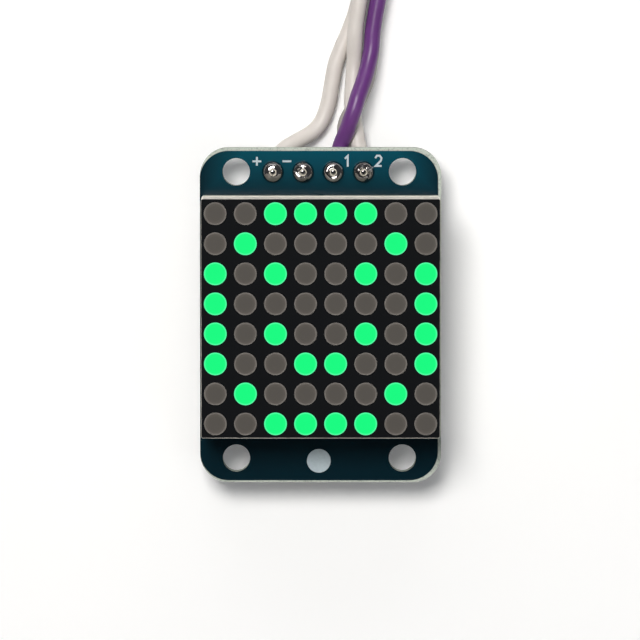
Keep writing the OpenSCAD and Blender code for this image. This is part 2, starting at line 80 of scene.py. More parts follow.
def lamp(name, place, width, height, watts, colour="#ffffff"):
    """A flat soft lamp that looks at the middle of the table. Places and sizes are in metres."""
    data = bpy.data.lights.new(name, "AREA")
    data.shape = "RECTANGLE"
    data.size = width
    data.size_y = height
    data.energy = watts
    data.color = linear(colour)[:3]
    made = bpy.data.objects.new(name, data)
    made.location = place
    made.rotation_euler = (-Vector(place)).to_track_quat("-Z", "Y").to_euler()
    bpy.context.scene.collection.objects.link(made)


lamp("key_lamp", (-0.1, 0.22, 0.63), 0.22, 0.22, 3.6, "#fffdfa")
lamp("fill_lamp", (0.35, -0.2, 0.5), 0.3, 0.3, 0.3)
lamp("low_lamp", (-0.04, 0.5, 0.28), 0.55, 0.2, 0.5)

# The room is brightest at the height of the table and darkest overhead, and faintly cool
FLOOR_TONE = (0.3, 0.3, 0.3, 1)
WALL_LEVELS = ((0.08, 0.3), (0.25, 0.12), (0.8, 0.11))
WALL_TINT = (1, 1.03, 1.08)
CEILING_TONE = (0.07, 0.075, 0.08, 1)
world = bpy.data.worlds.new("room")
bpy.context.scene.world = world
world.use_nodes = True
tree = world.node_tree
room = tree.nodes["Background"]
coordinates = tree.nodes.new("ShaderNodeTexCoord")
split = tree.nodes.new("ShaderNodeSeparateXYZ")
ramp = tree.nodes.new("ShaderNodeValToRGB")
for height, level in WALL_LEVELS:
    ramp.color_ramp.elements.new(height).color = [level * share for share in WALL_TINT] + [1]
ramp.color_ramp.elements[0].color = FLOOR_TONE
ramp.color_ramp.elements[-1].color = CEILING_TONE
tree.links.new(coordinates.outputs["Generated"], split.inputs[0])
tree.links.new(split.outputs["Z"], ramp.inputs[0])
tree.links.new(ramp.outputs[0], room.inputs["Color"])
room.inputs["Strength"].default_value = 1

# The table keeps its shadows, and a faint glow that only the eye sees brings it to plain white
TABLE_HALF = 1.5
TABLE_GLOW = 0.1
table_mesh = bpy.data.meshes.new("table")
corners = [(x * TABLE_HALF, y * TABLE_HALF, 0) for x, y in ((-1, -1), (1, -1), (1, 1), (-1, 1))]
table_mesh.from_pydata(corners, [], [(0, 1, 2, 3)])
table = bpy.data.objects.new("table", table_mesh)
bpy.context.scene.collection.objects.link(table)
table_finish = bpy.data.materials.new("table_white")
table_finish.use_nodes = True
tree = table_finish.node_tree
paint = tree.nodes["Principled BSDF"]
paint.inputs["Base Color"].default_value = (0.97, 0.97, 0.97, 1)
paint.inputs["Roughness"].default_value = 0.8
paint.inputs["Emission Color"].default_value = (1, 1, 1, 1)
path = tree.nodes.new("ShaderNodeLightPath")
seen = path.outputs["Is Camera Ray"]
for kind in ("Is Glossy Ray", "Is Transmission Ray"):
    either = tree.nodes.new("ShaderNodeMath")
    either.operation = "MAXIMUM"
    tree.links.new(seen, either.inputs[0])
    tree.links.new(path.outputs[kind], either.inputs[1])
    seen = either.outputs[0]
lift = tree.nodes.new("ShaderNodeMath")
lift.operation = "MULTIPLY"
lift.inputs[1].default_value = TABLE_GLOW
tree.links.new(seen, lift.inputs[0])
tree.links.new(lift.outputs[0], paint.inputs["Emission Strength"])
table_mesh.materials.append(table_finish)

# --- Hook-up wires -----------------------------------------------------------
# Four flexible wires of 1.35 mm over their soft plastic insulation, about 100 mm long and bared at
# both ends. They leave from the back of the terminals, lie loosely over each other and end in one
# small coil under a tie.

WIRE_D = 1.35 * MM
TERMINAL_ROW = Vector((-0.2, 12.05, 0)) * MM

# The routes as far as the coil, in millimetres from the terminal row's middle and the table
PLUS = [
    (-3.6, 0.75, 2.2), (-3.3, 1.35, 2.1), (-2.75, 1.9, 1.9), (-2, 2.35, 1.6), (-1.25, 2.75, 1.3),
    (-0.6, 3.15, 1.05), (0, 3.7, 0.85), (0.4, 4.35, 0.75), (0.68, 5.05, 0.7), (0.9, 5.85, 0.7),
    (1.05, 6.65, 0.7), (1.2, 7.55, 0.7), (1.45, 8.85, 0.7), (1.95, 10.25, 0.7), (2.6, 11.75, 0.7),
    (3.15, 13.25, 0.7), (3.55, 14.75, 0.7), (3.85, 16.35, 0.7), (4.05, 18.15, 0.7), (4.2, 20.05, 0.75),
    (4.45, 22.15, 0.85),
]
MINUS = [
    (-0.55, 0.05, 1.9), (0.1, 0.1, 1.7), (0.8, 0.25, 1.4), (1.4, 0.6, 1.05), (1.85, 1.05, 0.85),
    (2.15, 1.65, 0.75), (2.25, 2.35, 0.7), (2.25, 3.05, 0.7), (2.3, 3.75, 0.7), (2.55, 4.45, 0.7),
    (2.95, 5.15, 0.7), (3.35, 5.85, 0.7), (3.7, 6.65, 0.7), (4.05, 7.55, 0.7), (4.3, 8.75, 0.7),
    (4.5, 10.25, 0.7), (4.6, 11.75, 0.7), (4.85, 13.35, 0.7), (5.15, 14.95, 0.7), (5.4, 16.65, 0.7),
    (5.6, 18.45, 0.7), (5.75, 20.35, 0.75), (5.85, 22.25, 0.8), (5.9, 23.95, 0.85),
]
DATA = [
    (1.6, 1.15, 2.3), (1.8, 1.85, 2.3), (2, 2.45, 2.4), (2.25, 3.05, 2.75), (2.48, 3.65, 3.1),
    (2.68, 4.25, 3.35), (2.9, 4.85, 3.45), (3.1, 5.45, 3.45), (3.3, 6.15, 3.35), (3.55, 6.85, 3.1),
    (3.8, 7.55, 2.85), (4.05, 8.35, 2.55), (4.3, 9.35, 2.25), (4.5, 10.45, 2.1), (4.6, 11.75, 2.1),
    (4.85, 13.35, 2.1), (5.15, 14.95, 2.1), (5.4, 16.65, 2.1), (5.6, 18.45, 2.1), (5.75, 20.35, 2.15),
    (5.85, 22.25, 2.2), (5.9, 23.95, 2.25),
]
CLOCK = [
    (3.7, 0.75, 2.2), (3.55, 1.35, 2.15), (3.42, 1.95, 2.05), (3.3, 2.55, 1.9), (3.22, 3.15, 1.8),
    (3.1, 3.75, 1.85), (3.02, 4.25, 1.97), (2.92, 4.85, 2.07), (2.88, 5.45, 2.07), (2.86, 6.05, 1.97),
    (2.9, 6.85, 1.85), (2.96, 7.65, 1.65), (3.02, 8.55, 1.5), (3.06, 9.55, 1.55), (3.08, 10.55, 1.8),
    (3.12, 11.75, 2.05), (3.3, 13.25, 2.1), (3.55, 14.75, 2.1), (3.85, 16.35, 2.1), (4.05, 18.15, 2.1),
    (4.2, 20.05, 2.15), (4.45, 22.15, 2.25),
]

# The coil: two wires side by side and two more over them. The angles are in degrees
COIL_AT = TERMINAL_ROW + Vector((-2.8, 28.95, 0)) * MM
COIL_R = 7.3 * MM
LAY = 1.4 * MM
TIE_T = 0.15 * MM
LOW_LEVEL = TIE_T + WIRE_D / 2
CLIMB_FROM = 250
CLIMB_TO = 312
COIL_STEP = 10
INNER_END = 560
OUTER_END = 470


def on_coil(radius, degrees):
    """A point of the coil's lower wires, which climb over the upper ones for their second turn."""
    share = min(max((degrees - CLIMB_FROM) / (CLIMB_TO - CLIMB_FROM), 0), 1)
    height = LOW_LEVEL + 2 * LAY * (share * share * (3 - 2 * share))
    angle = math.radians(degrees)
    return COIL_AT + Vector((radius * math.cos(angle), radius * math.sin(angle), height))


def coil_points(lane, level, end):
    """One wire's turns, from where it runs in to the angle at which it ends."""
    radius = COIL_R + lane * LAY
    points = []
    for degrees in range(0, end + 1, COIL_STEP):
        along = (on_coil(radius, degrees + 1) - on_coil(radius, degrees - 1)).normalized()
        angle = math.radians(degrees)
        across = Vector((math.cos(angle), math.sin(angle), 0))
        points.append(on_coil(radius, degrees) + level * LAY * across.cross(along))
    return points


def smooth(points, parts=5):
    """A soft curve through the points, as a list of closer points."""
    ends = [2 * points[0] - points[1], *points, 2 * points[-1] - points[-2]]
    curve = []
    for a, b, c, d in zip(ends, ends[1:], ends[2:], ends[3:]):
        slope = c - a
        bend = 2 * a - 5 * b + 4 * c - d
        twist = 3 * b - a - 3 * c + d
        for i in range(parts):
            t = i / parts
            curve.append(0.5 * (2 * b + slope * t + bend * t**2 + twist * t**3))
    return [*curve, points[-1]]


def finished(name, mesh_data):
    """An object of that mesh, at the origin, that rides on the part's one body."""
    made = bpy.data.objects.new(name, mesh_data)
    bpy.context.scene.collection.objects.link(made)
    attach(made, "root")
    return made


def formed(name, form, material):
    """The same from a form of loose faces, which it turns outwards and gives one finish."""
    bmesh.ops.recalc_face_normals(form, faces=form.faces)
    mesh_data = bpy.data.meshes.new(name)
    form.to_mesh(mesh_data)
    form.free()
    mesh_data.materials.append(material)
    return finished(name, mesh_data)


def tube(name, curve, radius, material, sides=24, shoulder=0.06 * MM):
    """A closed tube along the curve, with a small shoulder at each cut end."""
    form = bmesh.new()
    upright = Vector((0, 0, 1))
    rings = []
    last = len(curve) - 1
    stations = []
    for i, point in enumerate(curve):
        along = (curve[min(i + 1, last)] - curve[max(i - 1, 0)]).normalized()
        if i == 0:
            stations += [(point, along, radius - shoulder), (point + along * shoulder, along, radius)]
        elif i == last:
            stations += [(point - along * shoulder, along, radius), (point, along, radius - shoulder)]
        else:
            stations.append((point, along, radius))
    for place, along, size in stations:
        side = along.cross(upright).normalized()
        up = side.cross(along)
        ring = []
        for k in range(sides):
            angle = 2 * math.pi * k / sides
            ring.append(form.verts.new(place + size * (math.cos(angle) * side + math.sin(angle) * up)))
        rings.append(ring)
    for a, b in zip(rings, rings[1:]):
        for k in range(sides):
            form.faces.new((a[k], a[(k + 1) % sides], b[(k + 1) % sides], b[k]))
    form.faces.new(rings[0])
    form.faces.new(reversed(rings[-1]))
    for face in form.faces:
        face.smooth = len(face.verts) == 4
    return formed(name, form, material)


def new_group(name, inputs, outputs, kind="ShaderNodeTree"):
    """An empty node group with the given sockets, its nodes, its links and its two ends."""
    group = bpy.data.node_groups.new(name, kind)
    for label, socket_kind, value in inputs:
        socket = group.interface.new_socket(label, in_out="INPUT", socket_type=socket_kind)
        if value is not None:
            socket.default_value = value
    for label, socket_kind in outputs:
        group.interface.new_socket(label, in_out="OUTPUT", socket_type=socket_kind)
    first = group.nodes.new("NodeGroupInput")
    end = group.nodes.new("NodeGroupOutput")
    return group, group.nodes, group.links, first, end


def math_node(nodes, links, operation, a, b=None):
    """One math node with its inputs wired or set, as its output."""
    made = nodes.new("ShaderNodeMath")
    made.operation = operation
    for socket, value in zip(made.inputs, (a, b)):
        if isinstance(value, (int, float)):
            socket.default_value = value
        elif value is not None:
            links.new(value, socket)
    return made.outputs[0]


# Two tones in soft patches with a fine grain, as a colour, a roughness and a height
mottle, nodes, links, first, end = new_group(
    "mottle",
    [
        ("Tone", "NodeSocketColor", (0.5, 0.5, 0.5, 1)),
        ("Second Tone", "NodeSocketColor", (0.4, 0.4, 0.4, 1)),
        ("Patch Scale", "NodeSocketFloat", 800.0),
        ("Grain Scale", "NodeSocketFloat", 8000.0),
        ("Roughness", "NodeSocketFloat", 0.5),
        ("Roughness Spread", "NodeSocketFloat", 0.1),
    ],
    [("Color", "NodeSocketColor"), ("Roughness", "NodeSocketFloat"), ("Height", "NodeSocketFloat")],
)
place = nodes.new("ShaderNodeTexCoord")
patches = nodes.new("ShaderNodeTexNoise")
grain = nodes.new("ShaderNodeTexNoise")
patches.inputs["Detail"].default_value = 3
grain.inputs["Detail"].default_value = 2
for texture, scale in ((patches, "Patch Scale"), (grain, "Grain Scale")):
    links.new(place.outputs["Object"], texture.inputs["Vector"])
    links.new(first.outputs[scale], texture.inputs["Scale"])
blend = nodes.new("ShaderNodeMix")
blend.data_type = "RGBA"
links.new(patches.outputs["Fac"], blend.inputs["Factor"])
links.new(first.outputs["Tone"], blend.inputs["A"])
links.new(first.outputs["Second Tone"], blend.inputs["B"])
links.new(blend.outputs["Result"], end.inputs["Color"])
spread = math_node(nodes, links, "SUBTRACT", grain.outputs["Fac"], 0.5)
spread = math_node(nodes, links, "MULTIPLY", spread, first.outputs["Roughness Spread"])
links.new(math_node(nodes, links, "ADD", spread, first.outputs["Roughness"]), end.inputs["Roughness"])
links.new(grain.outputs["Fac"], end.inputs["Height"])


def new_material(name):
    """A material with its nodes, links and main shader."""
    made = bpy.data.materials.new(name)
    made.use_nodes = True
    return made, made.node_tree.nodes, made.node_tree.links, made.node_tree.nodes["Principled BSDF"]


def mottle_in(nodes, tone, second, patch, grain_scale, rough=0.5, spread=0.1):
    """The mottle group placed in a material, with that material's own values."""
    pattern = nodes.new("ShaderNodeGroup")
    pattern.node_tree = mottle
    for label, value in (
        ("Tone", linear(tone)),
        ("Second Tone", linear(second)),
        ("Patch Scale", patch),
        ("Grain Scale", grain_scale),
        ("Roughness", rough),
        ("Roughness Spread", spread),
    ):
        pattern.inputs[label].default_value = value
    return pattern


def add_relief(nodes, links, shader, height, strength, depth):
    """A fine relief on a material's surface. depth is in millimetres."""
    relief = nodes.new("ShaderNodeBump")
    relief.inputs["Strength"].default_value = strength
    relief.inputs["Distance"].default_value = depth * MM
    links.new(height, relief.inputs["Height"])
    links.new(relief.outputs["Normal"], shader.inputs["Normal"])


def mottled(name, tone, second, rough, patch, grain_scale, spread=0.1, bump=0.05, depth=0.01, metal=0):
    """A material of two close tones with a fine grain."""
    made, nodes, links, shader = new_material(name)
    pattern = mottle_in(nodes, tone, second, patch, grain_scale, rough, spread)
    links.new(pattern.outputs["Color"], shader.inputs["Base Color"])
    links.new(pattern.outputs["Roughness"], shader.inputs["Roughness"])
    add_relief(nodes, links, shader, pattern.outputs["Height"], bump, depth)
    shader.inputs["Metallic"].default_value = metal
    return made


def dress(node, material):
    """Give a CAD node its finish."""
    for slot in nodes_of[node].material_slots:
        slot.material = material


# The minus wire's grey is a darker copy of the white insulation, painted shade for the wire that lies lowest
white, white_in_painted_shade, purple = [
    mottled(name, tone, second, rough, patch=500, grain_scale=5000, bump=0.3)
    for name, tone, second, rough in (
        ("white_insulation", "#e2dcd6", "#cec7c1", 0.42),
        ("white_insulation_painted_shade", "#b9b4b0", "#a19b97", 0.45),
        ("purple_insulation", "#703a85", "#58296b", 0.38),
    )
]
wires = {}
for name, route, lane, level, end, insulation in (
    ("plus", PLUS, 0, 0, INNER_END, white),
    ("minus", MINUS, 1, 0, OUTER_END, white_in_painted_shade),
    ("data", DATA, 1, 1, OUTER_END, purple),
    ("clock", CLOCK, 0, 1, INNER_END, white),
):
    straight = [TERMINAL_ROW + Vector(p) * MM for p in route]
    curve = smooth(straight + coil_points(lane, level, end))
    insulated = tube(name + "_wire", curve, WIRE_D / 2, insulation)
    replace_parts(insulated, "wire_" + name, "wire_coil")
    wires[name] = (insulated, curve)

# The bared ends and cores: fine tinned strands, twisted together
tinned_copper = mottled(
    "tinned_copper", "#c9c4b8", "#a89f8e", 0.3, patch=3000, grain_scale=9000, bump=0.4, depth=0.02, metal=1
)
dress("wire_cores", tinned_copper)


def add_node(nodes, links, kind, **inputs):
    """A node of that kind with its inputs wired or set, as its first output."""
    made = nodes.new(kind)
    for label, value in inputs.items():
        socket = made.inputs[label.replace("_", " ")]
        if isinstance(value, bpy.types.NodeSocket):
            links.new(value, socket)
        else:
            socket.default_value = value
    return made.outputs[0]


BARE_LENGTH = 4 * MM
STRANDS_INSIDE = 0.1 * MM
twist_tree, nodes, links, first, end = new_group(
    "twisted_strands",
    [
        ("Geometry", "NodeSocketGeometry", None),
        ("Strands", "NodeSocketInt", 7),
        ("Bundle Radius", "NodeSocketFloat", 0.2 * MM),
        ("Strand Radius", "NodeSocketFloat", 0.1 * MM),
        ("Length", "NodeSocketFloat", BARE_LENGTH),
        ("Turns", "NodeSocketFloat", 1.0),
        ("Start", "NodeSocketVector", None),
        ("Direction", "NodeSocketRotation", None),
        ("Material", "NodeSocketMaterial", None),
    ],
    [("Geometry", "NodeSocketGeometry")],
    kind="GeometryNodeTree",
)
given = first.outputs
spiral = add_node(
    nodes,
    links,
    "GeometryNodeCurveSpiral",
    Resolution=16,
    Rotations=given["Turns"],
    Start_Radius=given["Bundle Radius"],
    End_Radius=given["Bundle Radius"],
    Height=given["Length"],
)
round_wire = add_node(
    nodes, links, "GeometryNodeCurvePrimitiveCircle", Resolution=8, Radius=given["Strand Radius"]
)
strand = add_node(
    nodes, links, "GeometryNodeCurveToMesh", Curve=spiral, Profile_Curve=round_wire, Fill_Caps=True
)
starts = add_node(nodes, links, "GeometryNodePoints", Count=given["Strands"])
share = math_node(nodes, links, "DIVIDE", add_node(nodes, links, "GeometryNodeInputIndex"), given["Strands"])
angle = math_node(nodes, links, "MULTIPLY", share, 2 * math.pi)
turned = add_node(nodes, links, "ShaderNodeCombineXYZ", Z=angle)
bundle = add_node(
    nodes, links, "GeometryNodeInstanceOnPoints", Points=starts, Instance=strand, Rotation=turned
)
seated = add_node(
    nodes,
    links,
    "GeometryNodeTransform",
    Geometry=bundle,
    Translation=given["Start"],
    Rotation=given["Direction"],
)
real = add_node(nodes, links, "GeometryNodeRealizeInstances", Geometry=seated)
tinned = add_node(nodes, links, "GeometryNodeSetMaterial", Geometry=real, Material=given["Material"])
links.new(tinned, end.inputs[0])


def grown(name, tree, base, **settings):
    """What a Geometry Nodes tree makes from a base mesh with these settings, as a plain mesh."""
    source = bpy.data.objects.new(name + "_source", base)
    bpy.context.scene.collection.objects.link(source)
    modifier = source.modifiers.new("nodes", "NODES")
    modifier.node_group = tree
    sockets = {item.name: item.identifier for item in tree.interface.items_tree if item.in_out == "INPUT"}
    for label, value in settings.items():
        modifier[sockets[label.replace("_", " ")]] = value
    bpy.context.view_layer.update()
    made = bpy.data.meshes.new_from_object(source.evaluated_get(bpy.context.evaluated_depsgraph_get()))
    source.modifiers.clear()
    bpy.data.objects.remove(source)
    made.name = name
    for face in made.polygons:
        face.use_smooth = True
    return finished(name, made)


for name, (insulated, curve) in wires.items():
    along = (curve[-1] - curve[-2]).normalized()
    strands = grown(
        name + "_strands",
        twist_tree,
        bpy.data.meshes.new(name + "_start"),
        Start=tuple(curve[-1] - along * STRANDS_INSIDE),
        Direction=tuple(along.to_track_quat("Z", "Y").to_euler()),
        Material=tinned_copper,
    )
    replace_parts(strands, "end_" + name)

# The strip round the coil: thin black polyester, heat-sealed to itself
tie_film = mottled("tie_film", "#1c1c1e", "#141416", 0.35, patch=900, grain_scale=12000, bump=0.2)
dress("coil_tie", tie_film)

# --- Circuit board -----------------------------------------------------------
# Glass-fibre laminate of 1.6 mm under a glossy dark teal lacquer. The lacquer stops just short of
# the routed edge on three sides, so that the bare pale laminate shows there as a thin line.

distance_tree, nodes, links, first, end = new_group(
    "rounded_rectangle",
    [
        ("Centre X", "NodeSocketFloat", 0.0),
        ("Centre Y", "NodeSocketFloat", 0.0),
        ("Half Width", "NodeSocketFloat", 0.01),
        ("Half Length", "NodeSocketFloat", 0.01),
        ("Corner Radius", "NodeSocketFloat", 0.001),
    ],
    [("Distance", "NodeSocketFloat")],
)
place = nodes.new("ShaderNodeTexCoord")
axes = nodes.new("ShaderNodeSeparateXYZ")
links.new(place.outputs["Object"], axes.inputs[0])
past = []
for axis, centre, half_size in (("X", "Centre X", "Half Width"), ("Y", "Centre Y", "Half Length")):
    off = math_node(nodes, links, "SUBTRACT", axes.outputs[axis], first.outputs[centre])
    off = math_node(nodes, links, "ABSOLUTE", off)
    off = math_node(nodes, links, "SUBTRACT", off, first.outputs[half_size])
    past.append(math_node(nodes, links, "ADD", off, first.outputs["Corner Radius"]))
outer = [math_node(nodes, links, "MAXIMUM", p, 0.0) for p in past]
squares = [math_node(nodes, links, "MULTIPLY", p, p) for p in outer]
corner = math_node(nodes, links, "SQRT", math_node(nodes, links, "ADD", *squares))
inside = math_node(nodes, links, "MINIMUM", math_node(nodes, links, "MAXIMUM", *past), 0.0)
whole = math_node(nodes, links, "ADD", corner, inside)
links.new(math_node(nodes, links, "SUBTRACT", whole, first.outputs["Corner Radius"]), end.inputs["Distance"])


def region(nodes, links, centre, half_size, radius, soft):
    """A mask that is 1 inside a rounded rectangle and fades to 0 over its edge."""
    shape = nodes.new("ShaderNodeGroup")
    shape.node_tree = distance_tree
    labels = ("Centre X", "Centre Y", "Half Width", "Half Length", "Corner Radius")
    for label, value in zip(labels, (*centre, *half_size, radius)):
        shape.inputs[label].default_value = value
    distance = shape.outputs["Distance"]
    fade = {"From_Min": -soft, "From_Max": 0, "To_Min": 1, "To_Max": 0}
    return add_node(nodes, links, "ShaderNodeMapRange", Value=distance, **fade)


def flat_faces(nodes, links, limit=0.7):
    """A mask that is 1 on faces that look up or down."""
    surface = nodes.new("ShaderNodeNewGeometry")
    parts = nodes.new("ShaderNodeSeparateXYZ")
    links.new(surface.outputs["True Normal"], parts.inputs[0])
    steep = math_node(nodes, links, "ABSOLUTE", parts.outputs["Z"])
    return math_node(nodes, links, "GREATER_THAN", steep, limit)


def two_layers(nodes, links, mask, under, over):
    """One colour over another where the mask is 1."""
    made = nodes.new("ShaderNodeMix")
    made.data_type = "RGBA"
    links.new(mask, made.inputs["Factor"])
    for socket, value in (("A", under), ("B", over)):
        if isinstance(value, list):
            made.inputs[socket].default_value = value
        else:
            links.new(value, made.inputs[socket])
    return made.outputs["Result"]


def by_mask(nodes, links, mask, outside, inside):
    """One number where the mask is 0, and another where it is 1."""
    return add_node(nodes, links, "ShaderNodeMapRange", Value=mask, To_Min=outside, To_Max=inside)


# The lacquer's own rectangle is smaller than the board and printed a little off its middle
LACQUER_MIDDLE = (-0.14 * MM, -0.06 * MM)
LACQUER_MARGIN = (0.1 * MM, 0.18 * MM)
LACQUER_CORNER_R = 2.45 * MM
LACQUER_EDGE = 0.05 * MM
half_board = (board_high.x, board_high.y)
lacquer_half = [half - margin for half, margin in zip(half_board, LACQUER_MARGIN)]
lacquer, nodes, links, shader = new_material("teal_lacquer")
mask = region(nodes, links, LACQUER_MIDDLE, lacquer_half, LACQUER_CORNER_R, LACQUER_EDGE)
mask = math_node(nodes, links, "MULTIPLY", mask, flat_faces(nodes, links))

# The bare laminate at the edge shows its glass fibres as fine pale specks
place = nodes.new("ShaderNodeTexCoord")
fibre = add_node(
    nodes, links, "ShaderNodeTexNoise", Vector=place.outputs["Object"], Scale=6000, Detail=3
)
laminate = nodes.new("ShaderNodeValToRGB")
for element, position, tone in zip(laminate.color_ramp.elements, (0.3, 0.5), ("#929a93", "#bcc3b9")):
    element.position = position
    element.color = linear(tone)
links.new(fibre, laminate.inputs[0])

# The lacquer is painted lighter round the terminals as painted light, and this fades towards the display as
# painted shade
PAINTED_LIGHT_REACH = 4.2 * MM
PAINTED_LIGHT_CORNER_R = 0.5 * MM
PAINTED_LIGHT_FADE = 4 * MM
teal = mottle_in(nodes, "#041d27", "#04212a", patch=300, grain_scale=2500)
painted_light_teal = mottle_in(nodes, "#05475c", "#064a55", patch=200, grain_scale=2500)
painted_light_mask = region(
    nodes, links, (0, half_board[1]), (half_board[0], PAINTED_LIGHT_REACH), PAINTED_LIGHT_CORNER_R, PAINTED_LIGHT_FADE
)
teal_with_painted_light = two_layers(nodes, links, painted_light_mask, teal.outputs["Color"], painted_light_teal.outputs["Color"])
links.new(two_layers(nodes, links, mask, laminate.outputs[0], teal_with_painted_light), shader.inputs["Base Color"])
links.new(by_mask(nodes, links, mask, outside=0.6, inside=0.16), shader.inputs["Roughness"])
shader.inputs["Specular IOR Level"].default_value = 0.2
add_relief(nodes, links, shader, teal.outputs["Height"], strength=0.15, depth=0.02)
dress("circuit_board", lacquer)

# Copper lands: tinned where the solder has run, gold elsewhere
for node, name, tone, second, rough in (
    ("front_pads", "tinned_land", "#c9c6be", "#b5ac95", 0.35),
    ("back_pads", "gilt_land", "#d9b56a", "#c69c4c", 0.3),
):
    dress(node, mottled(name, tone, second, rough, patch=2500, grain_scale=9000, metal=1))

# --- Print on the board ------------------------------------------------------
# White marks screened onto the lacquer: a sign or number beside each terminal for plus, minus,
# signal 1 and signal 2, and one plain round dot below the display.

INK_T = 0.02 * MM
INK_W = 0.16 * MM


def stroke(form, line):
    """A flat strip of ink along a line of points, with square ends."""
    last = len(line) - 1
    left, right = [], []
    for i, point in enumerate(line):
        before = point - line[i - 1] if i else line[1] - point
        after = line[i + 1] - point if i < last else before
        before, after = before.normalized(), after.normalized()
        normal = Vector((-before.y - after.y, before.x + after.x)).normalized()
        reach = INK_W / 2 / normal.dot(Vector((-before.y, before.x)))
        for side, sign in ((left, 1), (right, -1)):
            flat = point + sign * reach * normal
            side.append([form.verts.new((flat.x, flat.y, board_top + z)) for z in (0, INK_T)])
    for i in range(last):
        a, b, c, d = left[i], left[i + 1], right[i + 1], right[i]
        for loop in (
            (a[1], b[1], c[1], d[1]),
            (d[0], c[0], b[0], a[0]),
            (a[0], b[0], b[1], a[1]),
            (c[0], d[0], d[1], c[1]),
        ):
            form.faces.new(loop)
    form.faces.new((left[0][0], left[0][1], right[0][1], right[0][0]))
    form.faces.new((right[-1][0], right[-1][1], left[-1][1], left[-1][0]))


TERMINAL_PITCH = 2.54 * MM
TERMINAL_X = [TERMINAL_ROW.x + (i - 1.5) * TERMINAL_PITCH for i in range(4)]
TERMINAL_Y = TERMINAL_ROW.y
MARKS_BEYOND = 0.9 * MM

# Each mark's strokes, in millimetres from its own middle. The plus has its bar in two halves, so
# that no strokes overlap
PLUS_SIGN = [[(-0.37, 0), (-0.09, 0)], [(0.09, 0), (0.37, 0)], [(0, -0.37), (0, 0.37)]]
MINUS_SIGN = [[(-0.37, 0), (0.37, 0)]]
ONE = [[(-0.2, 0.22), (0.04, 0.45), (0.04, -0.45)]]
TWO = [
    [
        (-0.26, 0.24), (-0.12, 0.45), (0.12, 0.45), (0.26, 0.26),
        (0.22, 0.04), (-0.22, -0.41), (0.28, -0.41),
    ],
]
MARKS = ((-1.34, 0, PLUS_SIGN), (-1.36, 0, MINUS_SIGN), (1.17, 0, ONE), (1.24, 0.02, TWO))
form = bmesh.new()
for terminal_x, (off_x, off_y, strokes) in zip(TERMINAL_X, MARKS):
    middle = Vector((terminal_x + off_x * MM, TERMINAL_Y + MARKS_BEYOND + off_y * MM))
    for line in strokes:
        stroke(form, [middle + Vector(point) * MM for point in line])

ROUND_DOT_R = 1 * MM
ROUND_DOT_AT = (-0.15 * MM, -12.3 * MM)
bmesh.ops.create_cone(
    form,
    cap_ends=True,
    segments=48,
    radius1=ROUND_DOT_R,
    radius2=ROUND_DOT_R,
    depth=INK_T,
    matrix=Matrix.Translation((*ROUND_DOT_AT, board_top + INK_T / 2)),
)
white_ink = mottled("white_ink", "#bccad0", "#a4b3ba", 0.55, patch=4000, grain_scale=9000, bump=0.3)
formed("board_print", form, white_ink)

# --- Terminal joints ---------------------------------------------------------
# Four hand-soldered joints. The solder fills each plated hole, wets its land on both sides and
# stands up in an uneven dome round the tip of the wire's core, with wrinkles and lumps.

LAND_T = 0.04 * MM
LAND_TOP = board_top + LAND_T
LAND_LOW = board_low.z - LAND_T
FOOT_R = 0.93 * MM
HOLE_R = 0.49 * MM
HEEL_R = 0.31 * MM
HEEL_H = 0.2 * MM
DOME_H = 0.62 * MM
DISH_REACH = 0.45
TIP_R = 0.37 * MM
TIP_H = 0.92 * MM
WRINKLE_H = 0.05 * MM
WRINKLES_PER_MM = 1.6
GRAIN_H = 0.008 * MM
GRAINS_PER_MM = 4
AROUND = 72
ACROSS = 22


def joint_height(x, y, seed, crown, dish, lumps):
    """How high a joint's solder stands over its land.

    crown is the round part of the dome's height, and dish is how deep its middle has sunk. Each lump
    has its place, its reach and its rise, in millimetres."""
    away = math.hypot(x, y)
    share = min(away / FOOT_R, 1)
    body = (DOME_H - crown) * (1 - share**9) + crown * (1 - share**2)
    body -= dish * math.exp(-((share / DISH_REACH) ** 3))
    for lump_x, lump_y, reach, rise in lumps:
        off = ((x / MM - lump_x) ** 2 + (y / MM - lump_y) ** 2) / reach**2
        body += rise * MM * math.exp(-off)
    place = Vector((x / MM, y / MM, seed))
    wrinkles = WRINKLE_H * noise.noise(place * WRINKLES_PER_MM)
    grain = GRAIN_H * noise.noise(place * GRAINS_PER_MM)
    body += (wrinkles + grain) * (1 - share**6)
    tip = TIP_H * (1 - min(away / TIP_R, 1) ** 6)
    return max(body, tip, 0)


def joint(form, centre, seed, crown, dish, lumps):
    """One joint as a closed form: the low heel behind, the filled hole and the dome in front."""
    rings = [
        [(radius, z)] * AROUND
        for radius, z in (
            (HEEL_R, LAND_LOW - HEEL_H),
            (HEEL_R + HEEL_H / 2, LAND_LOW - HEEL_H / 2),
            (FOOT_R, LAND_LOW),
            (HOLE_R, LAND_LOW),
            (HOLE_R, LAND_TOP),
        )
    ]
    angles = [2 * math.pi * k / AROUND for k in range(AROUND)]

    # The rings lie closer together towards the foot, where the dome is steepest
    for step in range(ACROSS):
        reach = FOOT_R * (1 - (step / ACROSS) ** 1.3)
        ring = []
        for angle in angles:
            x, y = reach * math.cos(angle), reach * math.sin(angle)
            height = joint_height(x, y, seed, crown, dish, lumps) if step else 0
            ring.append((reach, LAND_TOP + height))
        rings.append(ring)
    made = []
    for ring in rings:
        around = []
        for angle, (radius, z) in zip(angles, ring):
            x = centre[0] + radius * math.cos(angle)
            y = centre[1] + radius * math.sin(angle)
            around.append(form.verts.new((x, y, z)))
        made.append(around)
    for low, high in zip(made, made[1:]):
        for k in range(AROUND):
            after = (k + 1) % AROUND
            form.faces.new((low[k], low[after], high[after], high[k]))
    form.faces.new(reversed(made[0]))
    top = form.verts.new((*centre, LAND_TOP + joint_height(0, 0, seed, crown, dish, lumps)))
    for k in range(AROUND):
        form.faces.new((made[-1][k], made[-1][(k + 1) % AROUND], top))


